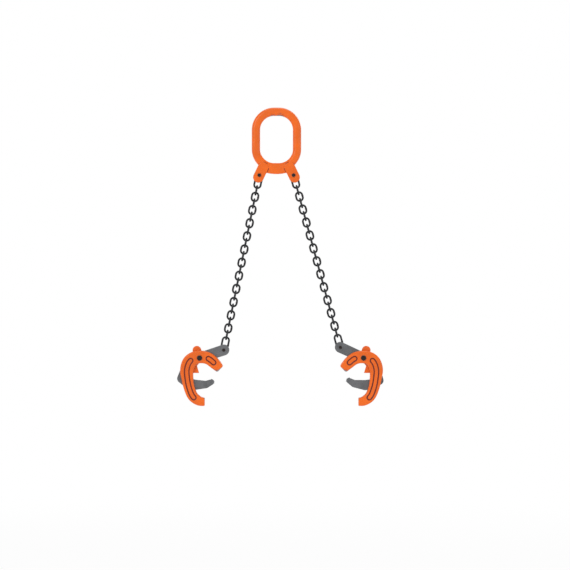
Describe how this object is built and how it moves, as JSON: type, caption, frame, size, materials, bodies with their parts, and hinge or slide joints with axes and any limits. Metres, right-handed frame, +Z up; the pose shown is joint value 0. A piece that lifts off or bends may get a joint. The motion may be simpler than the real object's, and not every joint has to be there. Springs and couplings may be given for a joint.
{
  "type": "drum lifting clamp",
  "caption": "Two-leg chain drum lifter: an oval lifting eye with two ears, two chain legs, and two C-shaped rim clamps with lever grips and spring latches.",
  "frame": {"origin": "seat of the crane hook, at the top inside of the lifting eye", "axes": "+Z up, +X along the spread of the two legs, -Y is the front face with the pin heads"},
  "size_m": [0.7383, 0.0515, 1.0674],
  "materials": {
    "forging_orange": "gloss",
    "lever_grey": "satin",
    "jaw_steel": "satin",
    "chain_dark": "satin",
    "pin_dark": "satin",
    "spring_steel": "satin"
  },
  "bodies": {
    "sling_head": {"lifting_eye": "forging_orange", "ear_pins": "pin_dark", "ear_pin_clips": "spring_steel"},
    "left_chain_01": {"left_chain_01": "chain_dark"},
    "left_chain_02": {"left_chain_02": "chain_dark"},
    "left_chain_03": {"left_chain_03": "chain_dark"},
    "left_chain_04": {"left_chain_04": "chain_dark"},
    "left_chain_05": {"left_chain_05": "chain_dark"},
    "left_chain_06": {"left_chain_06": "chain_dark"},
    "left_chain_07": {"left_chain_07": "chain_dark"},
    "left_chain_08": {"left_chain_08": "chain_dark"},
    "left_chain_09": {"left_chain_09": "chain_dark"},
    "left_chain_10": {"left_chain_10": "chain_dark"},
    "left_chain_11": {"left_chain_11": "chain_dark"},
    "left_chain_12": {"left_chain_12": "chain_dark"},
    "left_chain_13": {"left_chain_13": "chain_dark"},
    "left_lever": {"left_lever_front_plate": "lever_grey", "left_lever_back_plate": "lever_grey", "left_lever_rivets": "lever_grey", "left_grip_jaw": "jaw_steel", "left_chain_pin": "pin_dark", "left_chain_pin_clip": "spring_steel"},
    "left_hook": {"left_hook_body": "forging_orange", "left_main_pin": "pin_dark", "left_main_pin_clip": "spring_steel", "left_latch_spring": "spring_steel"},
    "left_latch": {"left_latch": "forging_orange"},
    "right_chain_01": {"right_chain_01": "chain_dark"},
    "right_chain_02": {"right_chain_02": "chain_dark"},
    "right_chain_03": {"right_chain_03": "chain_dark"},
    "right_chain_04": {"right_chain_04": "chain_dark"},
    "right_chain_05": {"right_chain_05": "chain_dark"},
    "right_chain_06": {"right_chain_06": "chain_dark"},
    "right_chain_07": {"right_chain_07": "chain_dark"},
    "right_chain_08": {"right_chain_08": "chain_dark"},
    "right_chain_09": {"right_chain_09": "chain_dark"},
    "right_chain_10": {"right_chain_10": "chain_dark"},
    "right_chain_11": {"right_chain_11": "chain_dark"},
    "right_chain_12": {"right_chain_12": "chain_dark"},
    "right_chain_13": {"right_chain_13": "chain_dark"},
    "right_lever": {"right_lever_front_plate": "lever_grey", "right_lever_back_plate": "lever_grey", "right_lever_rivets": "lever_grey", "right_grip_jaw": "jaw_steel", "right_chain_pin": "pin_dark", "right_chain_pin_clip": "spring_steel"},
    "right_hook": {"right_hook_body": "forging_orange", "right_main_pin": "pin_dark", "right_main_pin_clip": "spring_steel", "right_latch_spring": "spring_steel"},
    "right_latch": {"right_latch": "forging_orange"}
  },
  "joints": [
    {"name": "left_leg_swing", "type": "hinge", "parent": "sling_head", "child": "left_chain_01", "pos_m": [-0.0612, 0, -0.2124], "axis": [0, 1, 0], "range_deg": [-12, 58]},
    {"name": "left_chain_bend_01", "type": "hinge", "parent": "left_chain_01", "child": "left_chain_02", "pos_m": [-0.07529, 0, -0.28163], "axis": [0, -1, 0], "range_deg": [-45, 35]},
    {"name": "left_chain_sway_02", "type": "hinge", "parent": "left_chain_02", "child": "left_chain_03", "pos_m": [-0.0834, 0, -0.32151], "axis": [0.9799, 0, -0.1994], "range_deg": [-45, 45]},
    {"name": "left_chain_bend_03", "type": "hinge", "parent": "left_chain_03", "child": "left_chain_04", "pos_m": [-0.09442, 0, -0.3757], "axis": [0, 1, 0], "range_deg": [-41, 45]},
    {"name": "left_chain_sway_04", "type": "hinge", "parent": "left_chain_04", "child": "left_chain_05", "pos_m": [-0.10254, 0, -0.41559], "axis": [-0.9799, 0, 0.1994], "range_deg": [-45, 45]},
    {"name": "left_chain_bend_05", "type": "hinge", "parent": "left_chain_05", "child": "left_chain_06", "pos_m": [-0.11356, 0, -0.46978], "axis": [0, -1, 0], "range_deg": [-45, 45]},
    {"name": "left_chain_sway_06", "type": "hinge", "parent": "left_chain_06", "child": "left_chain_07", "pos_m": [-0.12168, 0, -0.50966], "axis": [0.9799, 0, -0.1994], "range_deg": [-45, 45]},
    {"name": "left_chain_bend_07", "type": "hinge", "parent": "left_chain_07", "child": "left_chain_08", "pos_m": [-0.1327, 0, -0.56385], "axis": [0, 1, 0], "range_deg": [-45, 45]},
    {"name": "left_chain_sway_08", "type": "hinge", "parent": "left_chain_08", "child": "left_chain_09", "pos_m": [-0.14082, 0, -0.60373], "axis": [-0.9799, 0, 0.1994], "range_deg": [-45, 45]},
    {"name": "left_chain_bend_09", "type": "hinge", "parent": "left_chain_09", "child": "left_chain_10", "pos_m": [-0.15184, 0, -0.65792], "axis": [0, -1, 0], "range_deg": [-45, 45]},
    {"name": "left_chain_sway_10", "type": "hinge", "parent": "left_chain_10", "child": "left_chain_11", "pos_m": [-0.15996, 0, -0.69781], "axis": [0.9799, 0, -0.1994], "range_deg": [-45, 45]},
    {"name": "left_chain_bend_11", "type": "hinge", "parent": "left_chain_11", "child": "left_chain_12", "pos_m": [-0.17098, 0, -0.752], "axis": [0, 1, 0], "range_deg": [-45, 45]},
    {"name": "left_chain_sway_12", "type": "hinge", "parent": "left_chain_12", "child": "left_chain_13", "pos_m": [-0.1791, 0, -0.79188], "axis": [-0.9799, 0, 0.1994], "range_deg": [-45, 45]},
    {"name": "left_clamp_swing", "type": "hinge", "parent": "left_chain_13", "child": "left_lever", "pos_m": [-0.1884, 0, -0.83759], "axis": [0, -1, 0], "range_deg": [-30, 55]},
    {"name": "left_grip", "type": "hinge", "parent": "left_lever", "child": "left_hook", "pos_m": [-0.27482, 0, -0.86578], "axis": [0, 1, 0], "range_deg": [-12.06, 15.94]},
    {"name": "left_latch_turn", "type": "hinge", "parent": "left_hook", "child": "left_latch", "pos_m": [-0.27482, 0, -0.86578], "axis": [0, -1, 0], "range_deg": [-14, 0], "stiffness_Nm_per_rad": 0.3, "springref_deg": 20.05},
    {"name": "right_leg_swing", "type": "hinge", "parent": "sling_head", "child": "right_chain_01", "pos_m": [0.0612, 0, -0.2124], "axis": [0, -1, 0], "range_deg": [-15, 55]},
    {"name": "right_chain_bend_01", "type": "hinge", "parent": "right_chain_01", "child": "right_chain_02", "pos_m": [0.07972, 0, -0.28058], "axis": [0, 1, 0], "range_deg": [-45, 35]},
    {"name": "right_chain_sway_02", "type": "hinge", "parent": "right_chain_02", "child": "right_chain_03", "pos_m": [0.09039, 0, -0.31985], "axis": [0.965, 0, 0.2622], "range_deg": [-45, 45]},
    {"name": "right_chain_bend_03", "type": "hinge", "parent": "right_chain_03", "child": "right_chain_04", "pos_m": [0.10489, 0, -0.37322], "axis": [0, -1, 0], "range_deg": [-41, 45]},
    {"name": "right_chain_sway_04", "type": "hinge", "parent": "right_chain_04", "child": "right_chain_05", "pos_m": [0.11556, 0, -0.4125], "axis": [-0.965, 0, -0.2622], "range_deg": [-45, 45]},
    {"name": "right_chain_bend_05", "type": "hinge", "parent": "right_chain_05", "child": "right_chain_06", "pos_m": [0.13006, 0, -0.46586], "axis": [0, 1, 0], "range_deg": [-45, 45]},
    {"name": "right_chain_sway_06", "type": "hinge", "parent": "right_chain_06", "child": "right_chain_07", "pos_m": [0.14074, 0, -0.50514], "axis": [0.965, 0, 0.2622], "range_deg": [-45, 45]},
    {"name": "right_chain_bend_07", "type": "hinge", "parent": "right_chain_07", "child": "right_chain_08", "pos_m": [0.15523, 0, -0.5585], "axis": [0, -1, 0], "range_deg": [-45, 45]},
    {"name": "right_chain_sway_08", "type": "hinge", "parent": "right_chain_08", "child": "right_chain_09", "pos_m": [0.16591, 0, -0.59778], "axis": [-0.965, 0, -0.2622], "range_deg": [-45, 45]},
    {"name": "right_chain_bend_09", "type": "hinge", "parent": "right_chain_09", "child": "right_chain_10", "pos_m": [0.1804, 0, -0.65114], "axis": [0, 1, 0], "range_deg": [-45, 45]},
    {"name": "right_chain_sway_10", "type": "hinge", "parent": "right_chain_10", "child": "right_chain_11", "pos_m": [0.19108, 0, -0.69042], "axis": [0.965, 0, 0.2622], "range_deg": [-45, 45]},
    {"name": "right_chain_bend_11", "type": "hinge", "parent": "right_chain_11", "child": "right_chain_12", "pos_m": [0.20557, 0, -0.74379], "axis": [0, -1, 0], "range_deg": [-45, 45]},
    {"name": "right_chain_sway_12", "type": "hinge", "parent": "right_chain_12", "child": "right_chain_13", "pos_m": [0.21625, 0, -0.78306], "axis": [-0.965, 0, -0.2622], "range_deg": [-45, 45]},
    {"name": "right_clamp_swing", "type": "hinge", "parent": "right_chain_13", "child": "right_lever", "pos_m": [0.22848, 0, -0.82808], "axis": [0, 1, 0], "range_deg": [-30, 55]},
    {"name": "right_grip", "type": "hinge", "parent": "right_lever", "child": "right_hook", "pos_m": [0.31119, 0, -0.86578], "axis": [0, -1, 0], "range_deg": [-18.5, 9.5]},
    {"name": "right_latch_turn", "type": "hinge", "parent": "right_hook", "child": "right_latch", "pos_m": [0.31119, 0, -0.86578], "axis": [0, 1, 0], "range_deg": [-14, 0], "stiffness_Nm_per_rad": 0.3, "springref_deg": 20.05}
  ]
}
